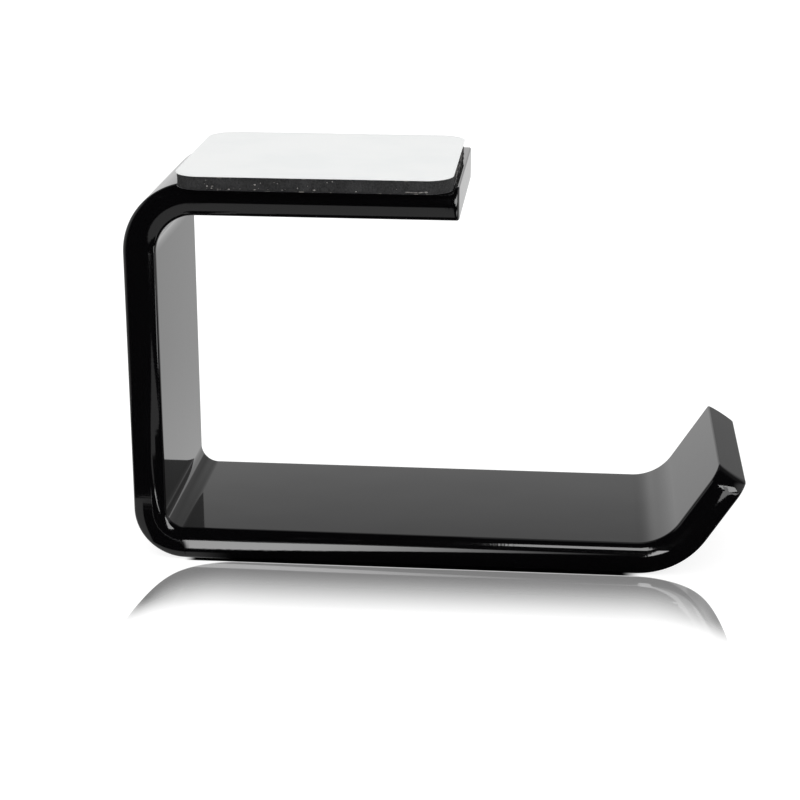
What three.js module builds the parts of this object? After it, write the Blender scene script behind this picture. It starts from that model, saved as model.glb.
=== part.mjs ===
// Stick-on headphone hanger: one strip of black acrylic, bent into a hook, with a pad of
// double-sided foam tape on its top arm. Millimetres, +Z up.
//
// The origin is on the underside of the long arm, halfway along the hanger and across the strip.
// +X points from the riser to the lip, +Y runs across the strip.

import * as THREE from 'three';

// ---------------------------------------------------------------- driving dimensions

// strip
const HEIGHT = 75;              // underside of the long arm to the top of the short arm
const WIDTH = 40;               // across the strip
const THICKNESS = 6.3;          // acrylic sheet
const TOP_ARM = 63;             // back of the riser to the cut end of the short arm
const LENGTH = 118;             // back of the riser to the tip of the lip
const LIP_HEIGHT = 22;          // underside of the long arm to the inner edge of the lip's cut end
const LIP_ANGLE = THREE.MathUtils.degToRad(57.6);   // lip above the long arm
const TOP_RADIUS = 7.5;         // inside of the bend at the short arm
const BOTTOM_RADIUS = 3.6;      // inside of the bend at the long arm
const LIP_RADIUS = 9.5;         // inside of the lip's bend
const EDGE_RADIUS = 1.2;        // polished edges along the strip

// foam tape pad
const PAD_LENGTH = 51;          // along the short arm
const PAD_WIDTH = 43;           // across the strip
const PAD_CORNER = 5;           // rounded corners, seen from above
const PAD_END_INSET = 0.9;      // pad back from the cut end of the short arm
const PAD_OVERHANG = 6;         // pad past the strip's front edge
const FILM = 0.12;              // each film of adhesive
const FOAM = 2.2;               // foam core
const LINER = 0.2;              // paper release liner
const LINER_GAP = 0.06;         // lets the liner lift without rubbing

// facets
const ARC_SEGMENTS = 8;
const EDGE_SEGMENTS = 4;

// ---------------------------------------------------------------- materials

const acrylic = new THREE.MeshStandardMaterial({ color: 0x08080a, roughness: 0.06, metalness: 0 });
const foam = new THREE.MeshStandardMaterial({ color: 0x2b2b2c, roughness: 0.95, metalness: 0 });
const adhesive = new THREE.MeshStandardMaterial({ color: 0x1c1c1d, roughness: 0.45, metalness: 0 });
const paper = new THREE.MeshStandardMaterial({ color: 0xf2f3f5, roughness: 0.6, metalness: 0 });

// ---------------------------------------------------------------- the bent strip

// Side view of the strip, x from the back of the riser and y up. The outline runs along the
// inner side from the short arm to the lip, across the lip's cut end, and back on the outer side.
function stripOutline() {
  const topOuter = TOP_RADIUS + THICKNESS;
  const bottomOuter = BOTTOM_RADIUS + THICKNESS;
  const lipSide = new THREE.Vector2(Math.cos(LIP_ANGLE), Math.sin(LIP_ANGLE));
  const lipAcross = new THREE.Vector2(lipSide.y, -lipSide.x).multiplyScalar(THICKNESS);
  const tipInner = new THREE.Vector2(LENGTH - lipAcross.x, LIP_HEIGHT);
  const tipOuter = tipInner.clone().add(lipAcross);

  // the lip's bend ends where its straight side begins
  const bendTop = THICKNESS + LIP_RADIUS * (1 - lipSide.x);
  const straightRun = (LIP_HEIGHT - bendTop) * lipSide.x / lipSide.y;
  const lipCentreX = tipInner.x - straightRun - LIP_RADIUS * lipSide.y;
  const lipCentreY = THICKNESS + LIP_RADIUS;
  const down = -Math.PI / 2;
  const lipEnd = down + LIP_ANGLE;

  const shape = new THREE.Shape();
  shape.moveTo(TOP_ARM, HEIGHT - THICKNESS);
  shape.lineTo(topOuter, HEIGHT - THICKNESS);
  shape.absarc(topOuter, HEIGHT - topOuter, TOP_RADIUS, Math.PI / 2, Math.PI, false);
  shape.absarc(bottomOuter, bottomOuter, BOTTOM_RADIUS, Math.PI, 1.5 * Math.PI, false);
  shape.absarc(lipCentreX, lipCentreY, LIP_RADIUS, down, lipEnd, false);
  shape.lineTo(tipInner.x, tipInner.y);
  shape.lineTo(tipOuter.x, tipOuter.y);
  shape.absarc(lipCentreX, lipCentreY, LIP_RADIUS + THICKNESS, lipEnd, down, true);
  shape.absarc(bottomOuter, bottomOuter, bottomOuter, 1.5 * Math.PI, Math.PI, true);
  shape.absarc(topOuter, HEIGHT - topOuter, topOuter, Math.PI, Math.PI / 2, true);
  shape.lineTo(TOP_ARM, HEIGHT);
  shape.closePath();
  return shape;
}

function makeBracket() {
  const geometry = new THREE.ExtrudeGeometry(stripOutline(), {
    depth: WIDTH - 2 * EDGE_RADIUS,
    curveSegments: ARC_SEGMENTS,
    bevelEnabled: true,
    bevelThickness: EDGE_RADIUS,
    bevelSize: EDGE_RADIUS,
    bevelOffset: -EDGE_RADIUS,
    bevelSegments: EDGE_SEGMENTS,
  });
  const bracket = new THREE.Mesh(geometry, acrylic);
  bracket.name = 'bracket';
  // the outline's y becomes Z, and the extrusion runs towards -Y
  bracket.rotation.x = Math.PI / 2;
  bracket.position.set(-LENGTH / 2, WIDTH / 2 - EDGE_RADIUS, 0);
  return bracket;
}

// ---------------------------------------------------------------- the tape pad

// Plan of the pad, centred on its own middle.
function padOutline() {
  const x = PAD_LENGTH / 2;
  const y = PAD_WIDTH / 2;
  const r = PAD_CORNER;
  const shape = new THREE.Shape();
  shape.moveTo(-x + r, -y);
  shape.absarc(x - r, -y + r, r, -Math.PI / 2, 0, false);
  shape.absarc(x - r, y - r, r, 0, Math.PI / 2, false);
  shape.absarc(-x + r, y - r, r, Math.PI / 2, Math.PI, false);
  shape.absarc(-x + r, -y + r, r, Math.PI, 1.5 * Math.PI, false);
  shape.closePath();
  return shape;
}

function makeLayer(name, thickness, base, material) {
  const geometry = new THREE.ExtrudeGeometry(padOutline(), {
    depth: thickness,
    curveSegments: ARC_SEGMENTS / 2,
    bevelEnabled: false,
  });
  const layer = new THREE.Mesh(geometry, material);
  layer.name = name;
  layer.position.z = base;
  return layer;
}

function makePad() {
  const pad = new THREE.Group();
  pad.position.set(
    TOP_ARM - PAD_END_INSET - (PAD_LENGTH + LENGTH) / 2,
    (PAD_WIDTH - WIDTH) / 2 - PAD_OVERHANG,
    HEIGHT,
  );
  pad.add(
    makeLayer('lower_adhesive_film', FILM, 0, adhesive),
    makeLayer('foam_core', FOAM, FILM, foam),
    makeLayer('upper_adhesive_film', FILM, FILM + FOAM, adhesive),
    makeLayer('release_liner', LINER, FILM + FOAM + FILM + LINER_GAP, paper),
  );
  return pad;
}

const hanger = new THREE.Group();
hanger.add(makeBracket(), makePad());

export default hanger;
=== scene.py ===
"""Visual model of a stick-on headphone hanger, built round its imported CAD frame.

One strip of black acrylic is bent into a C with a turned-up lip.  A foam tape pad
lies on its upper arm, between two films of adhesive, with the release liner on top.
All lengths are in metres, in the frame of the CAD model.
"""
import logging
import math
import random
from dataclasses import dataclass
from enum import Enum
from typing import Callable, Union

import bmesh
import bpy
from mathutils import Matrix, Vector, noise


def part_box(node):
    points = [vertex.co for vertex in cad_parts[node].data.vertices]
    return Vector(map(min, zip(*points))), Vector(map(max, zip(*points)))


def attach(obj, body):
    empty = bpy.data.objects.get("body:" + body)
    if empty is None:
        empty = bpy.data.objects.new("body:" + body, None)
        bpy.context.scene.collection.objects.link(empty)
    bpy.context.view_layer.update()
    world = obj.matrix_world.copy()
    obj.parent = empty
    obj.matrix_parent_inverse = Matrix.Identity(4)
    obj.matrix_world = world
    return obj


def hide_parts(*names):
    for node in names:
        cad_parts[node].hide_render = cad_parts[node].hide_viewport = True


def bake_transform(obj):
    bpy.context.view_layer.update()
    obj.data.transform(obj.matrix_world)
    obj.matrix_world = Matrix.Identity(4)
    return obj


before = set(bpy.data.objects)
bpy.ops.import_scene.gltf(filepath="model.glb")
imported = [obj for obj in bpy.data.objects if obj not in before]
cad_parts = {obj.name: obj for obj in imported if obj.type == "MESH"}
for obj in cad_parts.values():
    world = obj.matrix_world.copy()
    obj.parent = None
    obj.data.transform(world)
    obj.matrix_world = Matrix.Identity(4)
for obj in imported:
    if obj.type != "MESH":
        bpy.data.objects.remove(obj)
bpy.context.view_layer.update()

LOG = logging.getLogger("hanger")

Colour = tuple[float, float, float, float]
Point = tuple[float, float, float]
Span = tuple[float, float]
EdgePoint = tuple[float, float, float, float, float]
Value = Union["Wire", float]


class Slot(Enum):
    """The material slots of the record."""

    ACRYLIC = "black_acrylic"
    FOAM = "foam"
    ADHESIVE = "adhesive"
    PAPER = "liner_paper"


class Body(Enum):
    """The bodies that the pieces ride on."""

    BRACKET = "bracket"
    LINER = "liner"


# --------------------------------------------------------------------- shader maths


class Wire:
    """One shader value, with the arithmetic operators adding Math nodes."""

    def __init__(self, graph: "Graph", socket: bpy.types.NodeSocket) -> None:
        """Wraps an output socket of a graph."""
        self.graph = graph
        self.socket = socket

    def _maths(self, operation: str, first: Value, second: Value) -> "Wire":
        """Adds one Math node.

        Args:
            operation: Name of the Math node's operation.
            first: First operand.
            second: Second operand.

        Returns:
            The node's result.
        """
        node = self.graph.add(
            "ShaderNodeMath", {"operation": operation}, {0: first, 1: second}
        )
        return Wire(self.graph, node.outputs[0])

    def __add__(self, other: Value) -> "Wire":
        """Sum of two values."""
        return self._maths("ADD", self, other)

    def __radd__(self, other: Value) -> "Wire":
        """Sum, with the value on the right."""
        return self._maths("ADD", other, self)

    def __sub__(self, other: Value) -> "Wire":
        """Difference of two values."""
        return self._maths("SUBTRACT", self, other)

    def __rsub__(self, other: Value) -> "Wire":
        """Difference, with the value on the right."""
        return self._maths("SUBTRACT", other, self)

    def __mul__(self, other: Value) -> "Wire":
        """Product of two values."""
        return self._maths("MULTIPLY", self, other)

    def __rmul__(self, other: Value) -> "Wire":
        """Product, with the value on the right."""
        return self._maths("MULTIPLY", other, self)

    def absolute(self) -> "Wire":
        """The value without its sign."""
        return self._maths("ABSOLUTE", self, 0.0)

    def positive(self) -> "Wire":
        """The value, or 0 where it is below 0."""
        return self.maximum(0.0)

    def maximum(self, other: Value) -> "Wire":
        """The larger of two values."""
        return self._maths("MAXIMUM", self, other)

    def step(self, low: float, high: float) -> "Wire":
        """A smooth step from 0 at low to 1 at high; low may be the larger.

        Args:
            low: Where the result is 0.
            high: Where the result is 1.

        Returns:
            The stepped value, from 0 to 1.
        """
        backwards = low > high
        ends = (high, low) if backwards else (low, high)
        node = self.graph.add(
            "ShaderNodeMapRange",
            {"interpolation_type": "SMOOTHSTEP"},
            {"Value": self, "From Min": ends[0], "From Max": ends[1]},
        )
        result = Wire(self.graph, node.outputs[0])
        return 1.0 - result if backwards else result


class Graph:
    """A node tree and the one way to add a node to it."""

    def __init__(self, tree: bpy.types.NodeTree) -> None:
        """Takes over a node tree and empties it."""
        self.tree = tree
        tree.nodes.clear()

    def add(
        self, kind: str, settings: dict | None = None, sockets: dict | None = None
    ) -> bpy.types.Node:
        """Adds a node.

        Args:
            kind: The node's type.
            settings: Its properties, set before its sockets; "stops" fills a ramp.
            sockets: A number, colour, Wire or socket for each named or numbered input.

        Returns:
            The node.
        """
        node = self.tree.nodes.new(kind)
        for name, value in (settings or {}).items():
            if name == "stops":
                self._fill_ramp(node, value)
            else:
                setattr(node, name, value)
        for name, value in (sockets or {}).items():
            self.feed(node, name, value)
        return node

    def feed(self, node: bpy.types.Node, name: Union[str, int], value: object) -> None:
        """Links or sets one input of a node.

        Args:
            node: The node.
            name: Name or number of the input.
            value: A Wire or a socket to link, or a value to set.
        """
        if isinstance(value, Wire):
            value = value.socket
        if isinstance(value, bpy.types.NodeSocket):
            self.tree.links.new(value, node.inputs[name])
        else:
            node.inputs[name].default_value = value

    def end(self, shader: bpy.types.Node, kind: str = "ShaderNodeOutputMaterial") -> None:
        """Links a shader to a new output node."""
        self.feed(self.add(kind), "Surface", shader.outputs[0])

    @staticmethod
    def _fill_ramp(node: bpy.types.Node, stops: list[tuple[float, Colour]]) -> None:
        """Puts the stops on a colour ramp.

        Args:
            node: The ramp.
            stops: Place and colour of each stop, in order.
        """
        elements = node.color_ramp.elements
        while len(elements) < len(stops):
            elements.new(1.0)
        for element, (place, colour) in zip(elements, stops):
            element.position = place
            element.color = colour

    def wire(self, node: bpy.types.Node, output: Union[str, int] = 0) -> Wire:
        """One output of a node as a Wire."""
        return Wire(self, node.outputs[output])

    def noise(self, vector: bpy.types.NodeSocket, scale: float, detail: float = 2.0) -> Wire:
        """Plain noise.

        Args:
            vector: The place it is read at.
            scale: Cells to the metre.
            detail: Number of octaves.

        Returns:
            Its value, from 0 to 1.
        """
        node = self.add(
            "ShaderNodeTexNoise",
            {"noise_dimensions": "3D"},
            {"Vector": vector, "Scale": scale, "Detail": detail},
        )
        return self.wire(node, "Fac")

    def stretched(self, vector: bpy.types.NodeSocket, scale: Point) -> bpy.types.NodeSocket:
        """A place scaled differently along each axis.

        Args:
            vector: The place.
            scale: Factor for each axis.

        Returns:
            The scaled place.
        """
        node = self.add(
            "ShaderNodeVectorMath", {"operation": "MULTIPLY"}, {0: vector, 1: scale}
        )
        return node.outputs[0]

    def blend(self, factor: Value, first: Colour, second: Colour) -> bpy.types.NodeSocket:
        """Two colours mixed by a factor.

        Args:
            factor: 0 gives the first colour and 1 the second.
            first: First colour, or the socket that gives it.
            second: Second colour.

        Returns:
            The mixed colour.
        """
        node = self.add(
            "ShaderNodeMix",
            {"data_type": "RGBA"},
            {0: factor, 6: first, 7: second},
        )
        return node.outputs[2]


@dataclass(frozen=True)
class Finish:
    """What every finish has: a name and a way to make its material."""

    name: str

    def material(self) -> bpy.types.Material:
        """Makes the material.

        Returns:
            The material, with its nodes.
        """
        material = bpy.data.materials.new(self.name)
        material.use_nodes = True
        graph = Graph(material.node_tree)
        shader = graph.add("ShaderNodeBsdfPrincipled")
        graph.end(shader)
        self.dress(graph, shader)
        return material

    def dress(self, graph: Graph, shader: bpy.types.Node) -> None:
        """Sets the shader's sockets; each finish has its own."""
        raise NotImplementedError

    @staticmethod
    def feed(graph: Graph, shader: bpy.types.Node, **sockets: object) -> None:
        """Links or sets sockets of the shader, with _ for a space in a name.

        Args:
            graph: The material's graph.
            shader: The shader.
            **sockets: Value or link of each socket.
        """
        for name, value in sockets.items():
            graph.feed(shader, name.replace("_", " "), value)


@dataclass(frozen=True)
class GlossyAcrylic(Finish):
    """Cast acrylic, black right through, with polished cut edges."""

    black: Colour = (0.0018, 0.0017, 0.0020, 1.0)
    dusty: Colour = (0.012, 0.012, 0.013, 1.0)
    roughness: float = 0.035
    edge_roughness: float = 0.055
    refraction: float = 1.49

    def dress(self, graph: Graph, shader: bpy.types.Node) -> None:
        """Adds dust, hairline scratches, a faint roll and the marks of the cut.

        Args:
            graph: The material's graph.
            shader: The shader.
        """
        place = graph.add("ShaderNodeTexCoord").outputs["Object"]
        along = graph.wire(graph.add("ShaderNodeAttribute", {"attribute_name": "along"}), "Fac")
        edge = graph.wire(graph.add("ShaderNodeAttribute", {"attribute_name": "cut_edge"}), "Fac")
        dust = graph.noise(place, 2600.0, 1.0).step(0.70, 0.80)
        hair = graph.noise(graph.stretched(place, (60.0, 2400.0, 700.0)), 1.0, 3.0)
        scratch = hair.step(0.66, 0.74)
        roll = graph.noise(place, 55.0, 1.0)
        cut_place = graph.add("ShaderNodeCombineXYZ", None, {"X": along * 1400.0}).outputs[0]
        cut = graph.noise(cut_place, 1.0, 2.0)
        smear = graph.noise(place, 160.0, 3.0)
        rough = (
            self.roughness
            + smear * 0.02
            + scratch * 0.03
            + edge * (self.edge_roughness - self.roughness)
        )
        height = roll * 0.10 + scratch * -0.006 + edge * cut * 0.035
        bump = graph.add(
            "ShaderNodeBump", None, {"Height": height, "Distance": 0.0004, "Strength": 0.5}
        )
        self.feed(
            graph,
            shader,
            Base_Color=graph.blend(dust * 0.5 + scratch * 0.3, self.black, self.dusty),
            Roughness=rough,
            IOR=self.refraction,
            Normal=bump.outputs["Normal"],
        )


@dataclass(frozen=True)
class CellFoam(Finish):
    """Dark open-cut foam tape."""

    dark: Colour = (0.006, 0.006, 0.0065, 1.0)
    light: Colour = (0.020, 0.020, 0.021, 1.0)
    cells: float = 2600.0

    def dress(self, graph: Graph, shader: bpy.types.Node) -> None:
        """Adds the cut cells, with painted shade darkening their hollows, and a slow change of tone.

        Args:
            graph: The material's graph.
            shader: The shader.
        """
        place = graph.add("ShaderNodeTexCoord").outputs["Object"]
        cell = graph.add("ShaderNodeTexVoronoi", None, {"Vector": place, "Scale": self.cells})
        depth = graph.wire(cell, "Distance")
        cloud = graph.noise(place, 320.0, 3.0)
        grain = graph.noise(place, 5200.0, 2.0)
        # tone: random clouds, plus painted shade that darkens each cell's hollow where the bump is
        # lowest.
        tone = cloud.step(0.32, 0.72) * 0.6 + depth.step(0.15, 0.75) * 0.4
        height = depth + grain * 0.4
        bump = graph.add(
            "ShaderNodeBump", None, {"Height": height, "Distance": 0.00018, "Strength": 0.8}
        )
        self.feed(
            graph,
            shader,
            Base_Color=graph.blend(tone, self.dark, self.light),
            Roughness=0.72 + grain * 0.25,
            IOR=1.45,
            Normal=bump.outputs["Normal"],
        )


@dataclass(frozen=True)
class TackyFilm(Finish):
    """A film of pressure adhesive, dark from the foam behind it, milky where it is torn."""

    clear: Colour = (0.018, 0.018, 0.020, 1.0)
    milky: Colour = (0.20, 0.19, 0.17, 1.0)

    def dress(self, graph: Graph, shader: bpy.types.Node) -> None:
        """Adds milky patches and a soft uneven gloss.

        Args:
            graph: The material's graph.
            shader: The shader.
        """
        place = graph.add("ShaderNodeTexCoord").outputs["Object"]
        patch = graph.noise(place, 900.0, 3.0).step(0.56, 0.72)
        ripple = graph.noise(place, 2200.0, 2.0)
        bump = graph.add(
            "ShaderNodeBump", None, {"Height": ripple, "Distance": 0.00012, "Strength": 0.7}
        )
        self.feed(
            graph,
            shader,
            Base_Color=graph.blend(patch, self.clear, self.milky),
            Roughness=0.22 + ripple * 0.25,
            IOR=1.47,
            Normal=bump.outputs["Normal"],
        )


@dataclass(frozen=True)
class TornAdhesive(Finish):
    """Crumbs and strings of adhesive pulled out at the pad's edge."""

    body: Colour = (0.24, 0.23, 0.22, 1.0)
    shade: Colour = (0.05, 0.048, 0.046, 1.0)

    def dress(self, graph: Graph, shader: bpy.types.Node) -> None:
        """Adds a mottled pale tone and a wet look.

        Args:
            graph: The material's graph.
            shader: The shader.
        """
        place = graph.add("ShaderNodeTexCoord").outputs["Object"]
        mottle = graph.noise(place, 1500.0, 3.0)
        bump = graph.add(
            "ShaderNodeBump", None, {"Height": mottle, "Distance": 0.00008, "Strength": 0.6}
        )
        self.feed(
            graph,
            shader,
            Base_Color=graph.blend(mottle.step(0.35, 0.65), self.shade, self.body),
            Roughness=0.2 + mottle * 0.2,
            IOR=1.47,
            Normal=bump.outputs["Normal"],
        )


@dataclass(frozen=True)
class SiliconePaper(Finish):
    """White release paper with a thin silicone face."""

    white: Colour = (0.84, 0.85, 0.845, 1.0)
    cool: Colour = (0.79, 0.81, 0.81, 1.0)

    def dress(self, graph: Graph, shader: bpy.types.Node) -> None:
        """Adds soft clouds, faint handling marks and paper fibre.

        Args:
            graph: The material's graph.
            shader: The shader.
        """
        place = graph.add("ShaderNodeTexCoord").outputs["Object"]
        cloud = graph.noise(place, 70.0, 3.0).step(0.38, 0.66)
        mark = graph.noise(graph.stretched(place, (500.0, 1400.0, 1.0)), 1.0, 2.0).step(0.66, 0.78)
        fibre = graph.noise(graph.stretched(place, (5200.0, 2600.0, 2600.0)), 1.0, 3.0)
        bump = graph.add(
            "ShaderNodeBump",
            None,
            {"Height": fibre * 0.5 + cloud * 0.5, "Distance": 0.00006, "Strength": 0.5},
        )
        self.feed(
            graph,
            shader,
            Base_Color=graph.blend(cloud * 0.55 + mark * 0.35, self.white, self.cool),
            Roughness=0.42 + fibre * 0.16,
            IOR=1.42,
            Coat_Weight=0.12,
            Coat_Roughness=0.35,
            Normal=bump.outputs["Normal"],
        )


# --------------------------------------------------------------------- mesh helpers


class Sculptor:
    """Turns rings and grids of points into finished mesh objects."""

    @staticmethod
    def piece(name: str, mesh: bmesh.types.BMesh) -> bpy.types.Object:
        """Makes a smooth-shaded object.

        Args:
            name: Name of the piece.
            mesh: Its surface, which is freed.

        Returns:
            The object, in the scene.
        """
        bmesh.ops.recalc_face_normals(mesh, faces=mesh.faces)
        data = bpy.data.meshes.new(name)
        mesh.to_mesh(data)
        mesh.free()
        data.shade_smooth()
        made = bpy.data.objects.new(name, data)
        bpy.context.scene.collection.objects.link(made)
        return made

    @staticmethod
    def dress(piece: bpy.types.Object, finish: Finish, slot: Slot) -> None:
        """Gives a piece its material."""
        piece.data.materials.append(finish.material())

    @staticmethod
    def skin(
        mesh: bmesh.types.BMesh, rings: list[list[Vector]]
    ) -> list[list[bmesh.types.BMVert]]:
        """Joins closed rings of points by quads, with a face over each open end.

        Args:
            mesh: Where the faces go.
            rings: The rings, all with the same number of points.

        Returns:
            The vertices, ring by ring.
        """
        made = [[mesh.verts.new(point) for point in ring] for ring in rings]
        count = len(made[0])
        for lower, upper in zip(made, made[1:]):
            for i in range(count):
                j = (i + 1) % count
                mesh.faces.new((lower[i], lower[j], upper[j], upper[i]))
        mesh.faces.new(reversed(made[0]))
        mesh.faces.new(made[-1])
        return made


# --------------------------------------------------------------------- the bent strip


@dataclass
class Station:
    """One place along the strip: its middle, the way to its outer face, and its length run."""

    x: float
    z: float
    angle: float
    run: float

    def point(self, offset: float, y: float) -> Vector:
        """A point beside the middle line, offset towards the outer face."""
        return Vector(
            (
                self.x + offset * math.cos(self.angle),
                y,
                self.z + offset * math.sin(self.angle),
            )
        )


@dataclass
class BentStrip:
    """The acrylic strip: upper arm, riser, lower arm and lip in one bend after another."""

    height: float = 0.075
    width: float = 0.040
    thickness: float = 0.0063
    length: float = 0.118
    arm_length: float = 0.063
    top_bend: float = 0.0075
    bottom_bend: float = 0.0036
    lip_bend: float = 0.0095
    lip_angle: float = math.radians(57.6)
    lip_height: float = 0.022
    rim: float = 0.0009
    crown: float = 0.007
    arm_corner: float = 0.0007
    lip_corner: float = 0.0032
    back_corner: float = 0.0005
    end_rim: float = 0.00035
    bend_steps: int = 36
    run_step: float = 0.0025

    def middle_line(self) -> list[Station]:
        """Stations from the end of the upper arm to the tip of the lip.

        Returns:
            The stations in order.
        """
        half = self.thickness / 2
        left = -self.length / 2
        top = self.top_bend + self.thickness
        bottom = self.bottom_bend + self.thickness
        lip_middle = self.lip_bend + half
        lip_centre_z = self.lip_bend + self.thickness
        inner_rise = lip_centre_z - self.lip_bend * math.cos(self.lip_angle)
        lip_run = (self.lip_height - inner_rise) / math.sin(self.lip_angle)
        outer_reach = (self.lip_bend + self.thickness) * math.sin(self.lip_angle)
        lip_centre_x = -left - outer_reach - lip_run * math.cos(self.lip_angle)
        quarter = math.pi / 2
        corners = [
            (left + top, self.height - top, top - half, quarter, quarter),
            (left + bottom, bottom, bottom - half, 2 * quarter, quarter),
            (lip_centre_x, lip_centre_z, lip_middle, 3 * quarter, self.lip_angle),
        ]
        stations: list[Station] = []
        run = 0.0
        x, z = left + self.arm_length, self.height - half
        for centre_x, centre_z, radius, start, turn in corners:
            target = (
                centre_x + radius * math.cos(start),
                centre_z + radius * math.sin(start),
            )
            stations += self._leg((x, z), target, start, run)
            run += math.dist((x, z), target)
            steps = max(8, round(self.bend_steps * turn / quarter))
            for i in range(steps):
                angle = start + turn * i / steps
                stations.append(
                    Station(
                        centre_x + radius * math.cos(angle),
                        centre_z + radius * math.sin(angle),
                        angle,
                        run + radius * turn * i / steps,
                    )
                )
            run += radius * turn
            end = start + turn
            x = centre_x + radius * math.cos(end)
            z = centre_z + radius * math.sin(end)
        tip = (
            x + lip_run * math.cos(self.lip_angle),
            z + lip_run * math.sin(self.lip_angle),
        )
        stations += self._leg((x, z), tip, end, run)
        stations.append(Station(tip[0], tip[1], end, run + lip_run))
        return stations

    def _leg(
        self,
        start: Span,
        end: Span,
        angle: float,
        run: float,
    ) -> list[Station]:
        """Stations along a straight leg, without its end.

        Args:
            start: Where it starts, as x and z.
            end: Where it ends.
            angle: Way to the outer face.
            run: Length of strip before it.

        Returns:
            The stations in order.
        """
        total = math.dist(start, end)
        edge = 0.0004
        places = {0.0, edge, total - edge}
        for corner in (self.arm_corner, self.lip_corner, self.back_corner, self.end_rim):
            for i in range(9):
                away = corner * (1 - math.cos(math.pi / 16 * i))
                places |= {away, total - away}
        count = max(1, round(total / self.run_step))
        places |= {total * i / count for i in range(1, count)}
        kept: list[float] = []
        for place in sorted(places):
            if place < total - 1e-6 and (not kept or place - kept[-1] > 1e-5):
                kept.append(place)
        return [
            Station(
                start[0] + (end[0] - start[0]) * place / total,
                start[1] + (end[1] - start[1]) * place / total,
                angle,
                run + place,
            )
            for place in kept
        ]

    def profile(self) -> list[EdgePoint]:
        """The strip's cross-section, with flat faces, rounded rims and crowned edges.

        Returns:
            Offset, y, the normal's two parts, and how much of a cut edge it is, for each
            point, once round.
        """
        half = self.thickness / 2
        side = self.width / 2
        tilt = math.asin((half - self.rim) / (self.crown - self.rim))
        crown_drop = self.crown * (1 - math.cos(tilt))
        points: list[EdgePoint] = []
        angles = [math.pi / 2 - (math.pi / 2 - tilt) * i / 8 for i in range(8)]
        angles += [tilt - 2 * tilt * i / 16 for i in range(17)]
        angles += [-tilt - (math.pi / 2 - tilt) * i / 8 for i in range(1, 9)]
        edge: list[EdgePoint] = []
        for angle in angles:
            if abs(angle) <= tilt + 1e-9:
                offset = self.crown * math.sin(angle)
                drop = self.crown * (1 - math.cos(angle))
            else:
                sign = math.copysign(1.0, angle)
                offset = sign * (half - self.rim) + self.rim * math.sin(angle)
                drop = crown_drop + self.rim * (math.cos(tilt) - math.cos(angle))
            share = min(1.0, max(0.0, 1.6 * math.cos(angle)))
            edge.append((offset, drop, math.sin(angle), math.cos(angle), share))
        flat = side - edge[0][1]
        shares = (0.992, 0.97, 0.8, 0.6, 0.4, 0.2, 0.0, -0.2, -0.4, -0.6, -0.8, -0.97, -0.992)
        points += [(o, -side + d, n, -c, s) for o, d, n, c, s in edge]
        points += [(-half, -flat * share, -1.0, 0.0, 0.0) for share in shares]
        points += [(o, side - d, n, c, s) for o, d, n, c, s in reversed(edge)]
        points += [(half, flat * share, 1.0, 0.0, 0.0) for share in shares]
        return points

    def build(self) -> bpy.types.Object:
        """Sweeps the cross-section along the strip and rounds its two cut ends.

        Returns:
            The finished piece.
        """
        stations = self.middle_line()
        profile = self.profile()
        total = stations[-1].run
        inside = -0.0002
        rings = [self._ring(stations[0], profile, inside, self.arm_corner)]
        for station in stations:
            away = min(station.run, total - station.run)
            front = self.lip_corner if station.run > total / 2 else self.arm_corner
            rings.append(self._ring(station, profile, away, front))
        rings.append(self._ring(stations[-1], profile, inside, self.lip_corner))
        swept = (stations[0], *stations, stations[-1])
        runs = [station.run for station in swept for _ in profile]
        shares = [point[4] for point in profile] * len(swept)
        mesh = bmesh.new()
        Sculptor.skin(mesh, rings)
        piece = Sculptor.piece("acrylic_strip", mesh)
        for name, values in (("along", runs), ("cut_edge", shares)):
            attribute = piece.data.attributes.new(name, "FLOAT", "POINT")
            attribute.data.foreach_set("value", values)
        return piece

    def _ring(
        self,
        station: Station,
        profile: list[EdgePoint],
        away: float,
        front: float,
    ) -> list[Vector]:
        """One ring of the sweep.

        Args:
            station: Where it is.
            profile: The cross-section.
            away: Distance from the nearer cut end; below 0 for a ring inside the end face.
            front: Radius of the end's front corner.

        Returns:
            Its points.
        """
        inset = self._round(self.end_rim, max(away, 0.0)) + max(-away, 0.0)
        pull_front = self._round(front, max(away, 0.0))
        pull_back = self._round(self.back_corner, max(away, 0.0))
        ring = []
        for offset, y, normal_offset, normal_y, _ in profile:
            pull = pull_front if y < 0 else -pull_back
            reach = abs(y) / (self.width / 2)
            pull *= min(1.0, max(0.0, (reach - 0.5) * 4.0))
            ring.append(
                station.point(offset - inset * normal_offset, y + pull - inset * normal_y)
            )
        return ring

    @staticmethod
    def _round(radius: float, away: float) -> float:
        """How far a rounded corner pulls in at a distance from the end."""
        if away >= radius:
            return 0.0
        return radius - math.sqrt(radius**2 - (radius - away) ** 2)

    def make(self) -> bpy.types.Object:
        """Builds, dresses and places the strip.

        Returns:
            The finished piece.
        """
        piece = self.build()
        Sculptor.dress(piece, GlossyAcrylic("black acrylic"), Slot.ACRYLIC)
        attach(piece, Body.BRACKET.value)
        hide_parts("bracket")
        return piece


# --------------------------------------------------------------------- the tape pad


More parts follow.
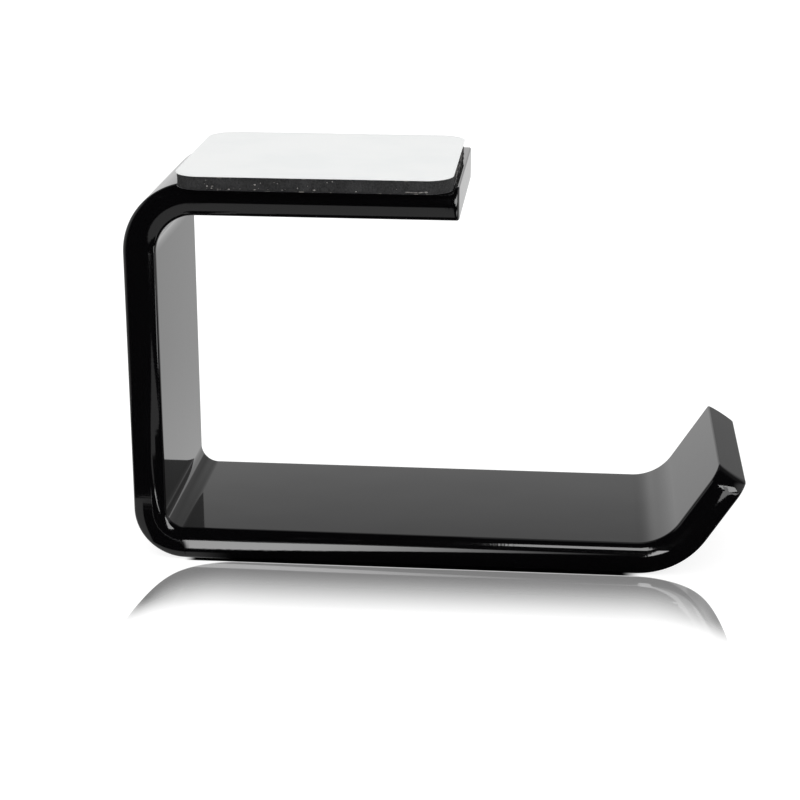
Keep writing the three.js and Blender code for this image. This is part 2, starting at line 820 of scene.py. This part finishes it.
@dataclass
class PadShape:
    """The outline that foam, films and liner share: a rectangle with rounded corners."""

    length: float
    width: float
    corner: float
    centre_x: float
    centre_y: float

    def outline(self, spacing: float) -> list[tuple[float, float, float, float]]:
        """Points along the outline.

        Args:
            spacing: Largest distance between two of them.

        Returns:
            x, y and the outward way's two parts for each point, once round.
        """
        points = []
        half_length = self.length / 2 - self.corner
        half_width = self.width / 2 - self.corner
        centres = (
            (half_length, half_width, 0.0, 2 * half_width),
            (-half_length, half_width, math.pi / 2, 2 * half_length),
            (-half_length, -half_width, math.pi, 2 * half_width),
            (half_length, -half_width, 1.5 * math.pi, 2 * half_length),
        )
        turns = max(6, round(self.corner * math.pi / 2 / spacing))
        for x, y, start, side in centres:
            corner_x = self.centre_x + x
            corner_y = self.centre_y + y
            runs = max(1, round(side / spacing))
            way = (math.cos(start), math.sin(start))
            for i in range(runs):
                back = side * (1 - i / runs)
                points.append(
                    (
                        corner_x + self.corner * way[0] + back * way[1],
                        corner_y + self.corner * way[1] - back * way[0],
                        *way,
                    )
                )
            for i in range(turns):
                angle = start + math.pi / 2 * i / turns
                way = (math.cos(angle), math.sin(angle))
                points.append(
                    (corner_x + self.corner * way[0], corner_y + self.corner * way[1], *way)
                )
        return points


@dataclass
class TapePad:
    """The foam tape: a foam core, an adhesive film on each face, and torn bits of adhesive."""

    corner: float = 0.005
    roughness: float = 0.00022
    crumb_count: int = 34
    seed: int = 7

    def __post_init__(self) -> None:
        """Takes the pad's outline and heights from the CAD nodes."""
        low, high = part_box("foam_core")
        self.low_z = low.z
        self.high_z = high.z
        self.shape = PadShape(
            high.x - low.x,
            high.y - low.y,
            self.corner,
            (high.x + low.x) / 2,
            (high.y + low.y) / 2,
        )

    def foam(self) -> bpy.types.Object:
        """The foam core, its sides rough where the cells are cut and slack in the middle.

        Returns:
            The finished piece.
        """
        levels = 14
        outline = self.shape.outline(0.00028)
        rings = []
        caps = (0.0012, 0.0003)
        for inset in caps:
            rings.append(
                [Vector((x - inset * nx, y - inset * ny, self.low_z)) for x, y, nx, ny in outline]
            )
        for level in range(levels + 1):
            share = level / levels
            z = self.low_z + (self.high_z - self.low_z) * share
            squeeze = 0.00012 * math.sin(math.pi * share) ** 0.7
            ring = []
            for x, y, nx, ny in outline:
                place = Vector((x, y, z))
                cells = noise.noise(place * 1900.0) * 0.6 + noise.noise(place * 4300.0) * 0.4
                slow = noise.noise(place * 260.0 + Vector((3.0, 7.0, 1.0)))
                worn = self.roughness * (0.5 + 0.5 * cells) + 0.00009 * (0.5 + 0.5 * slow)
                pull = worn + squeeze
                ring.append(Vector((x - nx * pull, y - ny * pull, z)))
            rings.append(ring)
        for inset in reversed(caps):
            rings.append(
                [Vector((x - inset * nx, y - inset * ny, self.high_z)) for x, y, nx, ny in outline]
            )
        mesh = bmesh.new()
        Sculptor.skin(mesh, rings)
        piece = Sculptor.piece("foam_pad", mesh)
        Sculptor.dress(piece, CellFoam("cell foam"), Slot.FOAM)
        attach(piece, Body.BRACKET.value)
        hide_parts("foam_core")
        return piece

    def film(self, name: str, node: str) -> bpy.types.Object:
        """One film of adhesive, cut a little short of the foam in places.

        Args:
            name: Name of the piece.
            node: The CAD node that it stands for.

        Returns:
            The finished piece.
        """
        low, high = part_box(node)
        outline = self.shape.outline(0.0006)
        rings = []
        heights = (low.z, low.z, low.z + (high.z - low.z) * 0.5, high.z, high.z)
        for z, inset in zip(heights, (0.0006, 0.00004, 0.0, 0.00004, 0.0006)):
            ring = []
            for x, y, nx, ny in outline:
                wander = 0.5 + 0.5 * noise.noise(Vector((x, y, low.z)) * 420.0)
                pull = inset + 0.00022 * wander
                ring.append(Vector((x - nx * pull, y - ny * pull, z)))
            rings.append(ring)
        mesh = bmesh.new()
        Sculptor.skin(mesh, rings)
        piece = Sculptor.piece(name, mesh)
        Sculptor.dress(piece, TackyFilm(name.replace("_", " ")), Slot.ADHESIVE)
        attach(piece, Body.BRACKET.value)
        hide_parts(node)
        return piece

    def crumbs(self) -> bpy.types.Object:
        """Crumbs of adhesive along the foot of the foam, and strings pulled up its end.

        Returns:
            The finished piece.
        """
        draw = random.Random(self.seed)
        mesh = bmesh.new()
        front = self.shape.centre_y - self.shape.width / 2 + 0.00022
        left = self.shape.centre_x - self.shape.length / 2
        right = self.shape.centre_x + self.shape.length / 2
        height = self.high_z - self.low_z
        for _ in range(self.crumb_count):
            share = 0.12 + 0.84 * draw.random() ** 1.4
            x = left + self.shape.length * share
            z = self.low_z + height * (0.06 + 0.84 * draw.random() ** 3)
            self._crumb(mesh, Vector((x, front, z)), draw.uniform(0.00004, 0.00012), draw)
        self._string(
            mesh,
            [
                Vector((right - 0.0085, front - 0.0001, self.low_z + 0.00030)),
                Vector((right - 0.0062, front - 0.0001, self.low_z + 0.00022)),
                Vector((right - 0.0046, front + 0.0002, self.low_z + 0.00034)),
                Vector((right - 0.0036, front + 0.0005, self.low_z + 0.00060)),
            ],
            0.00011,
        )
        side = right - 0.00024
        for start_y, end_y, rise in (
            (-0.0130, -0.0085, 0.0016),
            (-0.0092, -0.0060, 0.0019),
            (-0.0040, 0.0010, 0.0014),
            (0.0030, 0.0062, 0.0020),
            (0.0105, 0.0128, 0.0012),
        ):
            bow = draw.uniform(0.00002, 0.0001)
            self._string(
                mesh,
                [
                    Vector((side, start_y, self.low_z + 0.0002)),
                    Vector((side + bow, (start_y * 2 + end_y) / 3, self.low_z + rise * 0.35)),
                    Vector((side + bow, (start_y + end_y * 2) / 3, self.low_z + rise * 0.8)),
                    Vector((side, end_y, self.low_z + rise)),
                ],
                draw.uniform(0.00005, 0.00009),
            )
        piece = Sculptor.piece("torn_adhesive", mesh)
        Sculptor.dress(piece, TornAdhesive("torn adhesive"), Slot.ADHESIVE)
        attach(piece, Body.BRACKET.value)
        return piece

    @staticmethod
    def _crumb(
        mesh: bmesh.types.BMesh, centre: Vector, radius: float, draw: random.Random
    ) -> None:
        """Adds one uneven crumb.

        Args:
            mesh: Where it goes.
            centre: Its middle.
            radius: Its rough size.
            draw: Where its shape is drawn from.
        """
        made = bmesh.ops.create_icosphere(mesh, subdivisions=2, radius=radius)["verts"]
        stretch = Vector((draw.uniform(1.0, 2.4), 0.8, draw.uniform(0.7, 1.5)))
        shift = Vector((draw.uniform(0, 9), draw.uniform(0, 9), draw.uniform(0, 9)))
        for vertex in made:
            lump = 1.0 + 0.45 * noise.noise(vertex.co / radius * 1.3 + shift)
            vertex.co = centre + Vector(a * b * lump for a, b in zip(vertex.co, stretch))

    @staticmethod
    def _string(mesh: bmesh.types.BMesh, points: list[Vector], radius: float) -> None:
        """Adds one thin string, tapered at both ends.

        Args:
            mesh: Where it goes.
            points: The points that it runs through.
            radius: Its radius in the middle.
        """
        steps = 18
        sides = 8
        rings = []
        for i in range(steps + 1):
            share = i / steps
            place = share * (len(points) - 1)
            index = min(int(place), len(points) - 2)
            local = place - index
            centre = points[index].lerp(points[index + 1], local)
            way = (points[index + 1] - points[index]).normalized()
            across = way.orthogonal().normalized()
            other = way.cross(across)
            thick = radius * (0.25 + 0.75 * math.sin(math.pi * share) ** 0.5)
            ring = []
            for side in range(sides):
                angle = 2 * math.pi * side / sides
                ring.append(centre + thick * (across * math.cos(angle) + other * math.sin(angle)))
            rings.append(ring)
        Sculptor.skin(mesh, rings)

    def make(self) -> list[bpy.types.Object]:
        """Builds the pad.

        Returns:
            Its pieces.
        """
        return [
            self.foam(),
            self.film("lower_film", "lower_adhesive_film"),
            self.film("upper_film", "upper_adhesive_film"),
            self.crumbs(),
        ]


@dataclass
class Liner:
    """The release liner that covers the upper film until the hanger is stuck up."""

    corner: float = 0.005
    thickness: float = 0.00012
    ripple: float = 0.00003
    bend_run: float = 0.022
    columns: int = 96
    rows: int = 40

    def make(self) -> bpy.types.Object:
        """Builds, dresses and places the liner.

        Returns:
            The finished piece.
        """
        low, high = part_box("release_liner")
        length = high.x - low.x
        width = high.y - low.y
        middle_y = (high.y + low.y) / 2
        mesh = bmesh.new()
        layers = []
        for top in (False, True):
            grid = []
            for column in range(self.columns + 1):
                x = self._spread(column / self.columns, length)
                inset = self.corner - min(x, length - x)
                trim = 0.0
                if inset > 0:
                    trim = self.corner - math.sqrt(max(0.0, self.corner**2 - inset**2))
                half = width / 2 - trim
                line = []
                for row in range(self.rows + 1):
                    y = middle_y + half * (2 * row / self.rows - 1)
                    wave = noise.noise(Vector((low.x + x, y, 0.3)) * 75.0)
                    z = low.z + self.ripple * (1 + wave) + (self.thickness if top else 0.0)
                    line.append(mesh.verts.new((low.x + x, y, z)))
                grid.append(line)
            layers.append(grid)
        self._close(mesh, layers)
        piece = Sculptor.piece("liner_sheet", mesh)
        Sculptor.dress(piece, SiliconePaper("silicone paper"), Slot.PAPER)
        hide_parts("release_liner")
        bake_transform(piece)
        corners = (4 - math.pi) * self.corner**2
        length * width - corners
        return piece

    def _spread(self, share: float, length: float) -> float:
        """Distance along the liner, with more columns in the rounded corners.

        Args:
            share: Share of the columns, from 0 to 1.
            length: The liner's length.

        Returns:
            The distance from its first end.
        """
        zone = 0.2
        if share > 0.5:
            return length - self._spread(1 - share, length)
        if share < zone:
            return self.corner * (1 - math.cos(math.pi / 2 * share / zone))
        return self.corner + (length / 2 - self.corner) * (share - zone) / (0.5 - zone)

    @staticmethod
    def _close(mesh: bmesh.types.BMesh, layers: list[list[list[bmesh.types.BMVert]]]) -> None:
        """Adds the faces of both layers and of the cut edge between them.

        Args:
            mesh: Where they go.
            layers: Vertices by layer, column and row.
        """
        lower, upper = layers
        last = len(lower) - 1
        for grid in layers:
            for i in range(last):
                for a, b, c, d in zip(grid[i], grid[i + 1], grid[i + 1][1:], grid[i][1:]):
                    mesh.faces.new((a, b, c, d))
        for i in range(last):
            for row in (0, -1):
                mesh.faces.new(
                    (lower[i][row], lower[i + 1][row], upper[i + 1][row], upper[i][row])
                )
        for i in (0, last):
            for a, b, c, d in zip(lower[i], lower[i][1:], upper[i][1:], upper[i]):
                mesh.faces.new((a, b, c, d))


# --------------------------------------------------------------------- the studio


@dataclass
class Studio:
    """Pale floor with one mirroring patch and a painted contact shadow, a room shaped for reflections,
    and the camera.
    """

    floor_size: float = 6.0
    floor_tone: float = 0.35
    floor_glow: float = 0.80
    mirror: float = 0.80
    mirror_roughness: float = 0.03
    mirror_corner: float = 4.0e12
    mirror_reach: float = 0.0265
    mirror_width: float = 0.0385
    mirror_curve: float = 42.0
    # Painted contact shadow: the tone, middle, half length and end curve of the near-black strip
    # painted on the floor at the lower arm's front foot.
    front: float = -0.020
    contact_shadow_tone: float = 0.002
    contact_shadow_middle: float = -0.0055
    contact_shadow_half: float = 0.044
    contact_shadow_curve: float = 50.0
    room: float = 1.4
    low_backdrop: float = 0.95
    high_backdrop: float = 1.38
    side_glow: float = 0.9
    band_glow: float = 8.0
    grey_glow: float = 0.62
    tip_band_glow: float = 3.4
    softbox_glow: float = 7.0
    lip_glow: float = 9.0
    tip_glow: float = 3.2
    eye: Point = (0.02493, -0.37224, 0.15174)
    azimuth: float = math.radians(5.147)
    elevation: float = math.radians(18.388)
    roll: float = math.radians(0.023)
    lens: float = 88.88
    sensor: float = 36.0

    def camera(self) -> bpy.types.Object:
        """Makes the camera and points it.

        Returns:
            The camera.
        """
        data = bpy.data.cameras.new("camera")
        data.lens = self.lens
        data.sensor_width = self.sensor
        data.clip_start = 0.01
        data.clip_end = 50.0
        made = bpy.data.objects.new("camera", data)
        bpy.context.scene.collection.objects.link(made)
        flat = math.cos(self.elevation)
        back = Vector(
            (
                math.sin(self.azimuth) * flat,
                -math.cos(self.azimuth) * flat,
                math.sin(self.elevation),
            )
        )
        right = Vector((math.cos(self.azimuth), math.sin(self.azimuth), 0.0))
        up = back.cross(right)
        turn = Matrix((right, up, back)).transposed() @ Matrix.Rotation(self.roll, 3, "Z")
        made.matrix_world = Matrix.Translation(self.eye) @ turn.to_4x4()
        bpy.context.scene.camera = made
        return made

    def floor(self) -> bpy.types.Object:
        """Makes the pale floor, which mirrors a little just in front of the hanger and carries a
        painted contact shadow: a near-black strip along the lower arm's front foot.

        Returns:
            The floor.
        """
        mesh = bmesh.new()
        bmesh.ops.create_grid(mesh, x_segments=24, y_segments=24, size=self.floor_size / 2)
        made = Sculptor.piece("floor", mesh)
        made.location.z = -0.0001
        material = bpy.data.materials.new("pale floor")
        material.use_nodes = True
        graph = Graph(material.node_tree)
        place = graph.add("ShaderNodeTexCoord").outputs["Object"]
        parts = graph.add("ShaderNodeSeparateXYZ", None, {0: place})
        x = graph.wire(parts, "X")
        y = graph.wire(parts, "Y")
        beyond = (x.absolute() - self.mirror_width).positive()
        square = beyond * beyond
        fourth = square * square
        bow = square * self.mirror_curve + fourth * fourth * self.mirror_corner
        ahead = self.front - bow - y
        near = ahead.step(-0.0001, 0.0005) * ahead.step(self.mirror_reach, 0.002)
        near = near * y.step(-0.052, -0.038)
        # Painted contact shadow: mask of a near-black strip along the lower arm's front foot, curling
        # back beyond its straight part.
        past = ((x - self.contact_shadow_middle).absolute() - self.contact_shadow_half).positive()
        contact_shadow = (y - self.front - past * past * self.contact_shadow_curve).step(-0.0002, 0.0001)
        contact_shadow = contact_shadow * y.step(-0.0165, -0.0175) * x.step(-0.0495, -0.0470) * x.step(0.040, 0.036)
        # pale is the floor's even colour; black is the colour of the painted contact shadow.
        pale = (self.floor_tone, self.floor_tone, self.floor_tone, 1.0)
        black = (self.contact_shadow_tone, self.contact_shadow_tone, self.contact_shadow_tone, 1.0)
        matt = graph.add("ShaderNodeBsdfDiffuse", None, {"Color": pale})
        glow = graph.add("ShaderNodeEmission", None, {"Strength": self.floor_glow})
        bright = graph.add("ShaderNodeAddShader", None, {0: matt.outputs[0], 1: glow.outputs[0]})
        gloss = graph.add("ShaderNodeBsdfGlossy", None, {"Roughness": self.mirror_roughness})
        # Near-black diffuse that paints the contact shadow.
        dark = graph.add("ShaderNodeBsdfDiffuse", None, {"Color": black})
        ground = graph.add(
            "ShaderNodeMixShader",
            None,
            {0: near * self.mirror, 1: bright.outputs[0], 2: gloss.outputs[0]},
        )
        # Lays the painted contact shadow over the floor.
        mixed = graph.add(
            "ShaderNodeMixShader", None, {0: contact_shadow, 1: ground.outputs[0], 2: dark.outputs[0]}
        )
        graph.end(mixed)
        made.data.materials.append(material)
        made.visible_glossy = False
        return made

    def sky(self) -> None:
        """Sets the room: white for sight and soft light, with a shaped backdrop in reflections."""
        world = bpy.data.worlds.new("studio")
        bpy.context.scene.world = world
        world.use_nodes = True
        graph = Graph(world.node_tree)
        way = graph.add("ShaderNodeTexCoord").outputs["Generated"]
        parts = graph.add("ShaderNodeSeparateXYZ", None, {0: way})
        x = graph.wire(parts, "X")
        y = graph.wire(parts, "Y")
        z = graph.wire(parts, "Z")
        behind = y.step(0.0, 0.35)
        below = z.step(-0.12, -0.04) * 0.14
        deep = z.step(-0.28, -0.37) * 0.17
        low = self.low_backdrop + below + deep
        right_fall = x.step(0.05, 0.33) * 0.98
        left_fall = x.step(-0.18, -0.30) * 0.18
        top_fall = z.step(0.25, 0.44) * 0.74
        high = (self.high_backdrop - right_fall) * (1.0 - left_fall) * (1.0 - top_fall)
        horizon = z.step(-0.03, 0.03)
        beside = x.absolute().step(0.76, 0.92) * z.step(-0.45, -0.25) * z.step(0.65, 0.40)
        backdrop = (behind * (low * (1.0 - horizon) + high * horizon)).maximum(beside * self.side_glow)
        glossy = graph.wire(graph.add("ShaderNodeLightPath"), "Is Glossy Ray")
        strength = self.room + glossy * (backdrop - self.room)
        shader = graph.add("ShaderNodeBackground", None, {"Strength": strength})
        graph.end(shader, "ShaderNodeOutputWorld")

    def card(
        self,
        name: str,
        corners: list[Point],
        strength: Union[float, Callable[[Graph, Wire, Wire, Wire], Value]],
    ) -> bpy.types.Object:
        """Adds a card, glowing or black, that only glossy faces see.

        Args:
            name: Its name.
            corners: Its corners, in order.
            strength: Its glow, or what gives it from the graph and the place's x, y and z.

        Returns:
            The card.
        """
        mesh = bmesh.new()
        mesh.faces.new([mesh.verts.new(corner) for corner in corners])
        made = Sculptor.piece(name, mesh)
        material = bpy.data.materials.new(name)
        material.use_nodes = True
        graph = Graph(material.node_tree)
        place = graph.add("ShaderNodeTexCoord").outputs["Object"]
        parts = graph.add("ShaderNodeSeparateXYZ", None, {0: place})
        x, y, z = (graph.wire(parts, axis) for axis in "XYZ")
        power = strength if isinstance(strength, float) else strength(graph, x, y, z)
        glow = graph.add("ShaderNodeEmission", None, {"Strength": power})
        graph.end(glow)
        made.data.materials.append(material)
        made.visible_camera = False
        made.visible_diffuse = False
        made.visible_shadow = False
        made.visible_transmission = False
        return made

    def table_glow(self, graph: Graph, x: Wire, y: Wire, z: Wire) -> Wire:
        """Glow of the card at the table: one bright band, with grey zones round it.

        Args:
            graph: The card's graph.
            x: Place along the hanger.
            y: Place across it.
            z: Height.

        Returns:
            The strength of the glow.
        """
        spot = graph.add("ShaderNodeCombineXYZ", None, {"X": x, "Y": y, "Z": z}).outputs[0]
        grazing = graph.wire(graph.add("ShaderNodeLayerWeight", None, {"Blend": 0.5}), "Facing")
        ragged = (graph.noise(spot, 900.0, 2.0) - 0.5) * 0.0024
        along = x + 0.048
        near = (y + along * along * 5.0 + ragged).step(-0.0250, -0.0270)
        far = (y + x.step(-0.045, -0.015) * 0.028).step(-0.064, -0.060)
        reach = (x - y * 0.22).step(-0.0450, -0.0435)
        band = near * far * reach * x.step(0.044, -0.040) * grazing.step(0.37, 0.41) * self.band_glow
        depth = y.step(-0.262, -0.250) * y.step(-0.080, -0.088)
        wide = depth * x.step(-0.085, -0.075) * grazing.step(0.645, 0.630)
        narrow = y.step(-0.170, -0.164) * y.step(-0.066, -0.068)
        bent = (-0.108 - y).positive() * 0.375
        narrow = narrow * (x + (y + 0.068) * 0.225 - bent).step(-0.0585, -0.0560)
        zone = wide + narrow - wide * narrow
        grey = zone * (x - y * 0.10).step(0.012, 0.009) * self.grey_glow
        across = x + 0.057
        ahead = y + 0.020
        spread = across * across + ahead * ahead
        ring = spread.step(0.00148, 0.00143)
        wedge = (ahead - across * 1.6).step(0.000, 0.002)
        outer = spread.step(0.00118, 0.00122) * x.step(-0.049, -0.051)
        foot = y.step(-0.0232, -0.0224) * x.step(-0.040, -0.050)
        hook = (ring * (wedge + outer - wedge * outer)).maximum(foot) * self.grey_glow
        link = y.step(-0.069, -0.067) * y.step(-0.056, -0.058) * x.step(-0.0575, -0.0565)
        link = link * x.step(-0.0500, -0.0510) * self.grey_glow
        tip = x.step(0.0580, 0.0595) * y.step(-0.0605, -0.0630) * y.step(-0.125, -0.110)
        tip = tip * self.tip_band_glow
        return band + grey + hook + link + tip

    def lights(self) -> None:
        """Adds the glowing and black cards whose reflections run along the polished edges."""
        low = -0.002
        side = -0.36
        front = -0.042
        aside = -0.060
        far = -0.064
        shade = 0.0052
        brow = 0.0096
        cards = (
            ("table card", self.table_glow,
             [(-0.15, -0.27, low), (0.15, -0.27, low), (0.15, -0.01, low), (-0.15, -0.01, low)]),
            ("right softbox", self.softbox_glow,
             [(0.058, side, -0.055), (0.60, side, 0.02), (0.60, side, 0.24),
              (0.002, side, 0.105), (0.002, side, 0.025), (0.058, side, 0.020)]),
            ("lip card", self.lip_glow,
             [(0.0408, front, -0.0008), (0.0450, front, -0.0014), (0.0450, front, 0.0040),
              (0.0408, front, 0.0044)]),
            ("tip card", self.tip_glow,
             [(0.0615, aside, low), (0.0760, aside, low), (0.0760, aside, 0.030),
              (0.0615, aside, 0.030)]),
            ("black blind", 0.0,
             [(-0.0496, -0.021, low), (-0.0582, far, low), (-0.0582, far, 0.0135),
              (-0.0496, -0.021, shade)]),
            ("black shelf", 0.0,
             [(-0.0490, -0.0205, shade), (0.047, -0.0205, shade), (0.047, far, shade),
              (-0.0512, far, shade)]),
            ("black screen", 0.0,
             [(-0.042, far, shade), (0.047, far, shade), (0.047, far, brow),
              (-0.042, far, brow)]),
        )
        for name, strength, corners in cards:
            self.card(name, corners, strength)

    def make(self) -> None:
        """Sets up the whole studio."""
        self.camera()
        self.floor()
        self.sky()
        self.lights()
        scene = bpy.context.scene
        scene.view_settings.view_transform = "Standard"
        scene.view_settings.look = "None"


def main() -> None:
    """Builds the hanger and the studio, and logs the number of faces of each piece."""
    logging.basicConfig(level=logging.INFO, format="%(name)s: %(message)s")
    Studio().make()
    pieces = [BentStrip().make(), *TapePad().make(), Liner().make()]
    for piece in pieces:
        LOG.info("%s: %d faces", piece.name, len(piece.data.polygons))


if __name__ == "__main__":
    main()
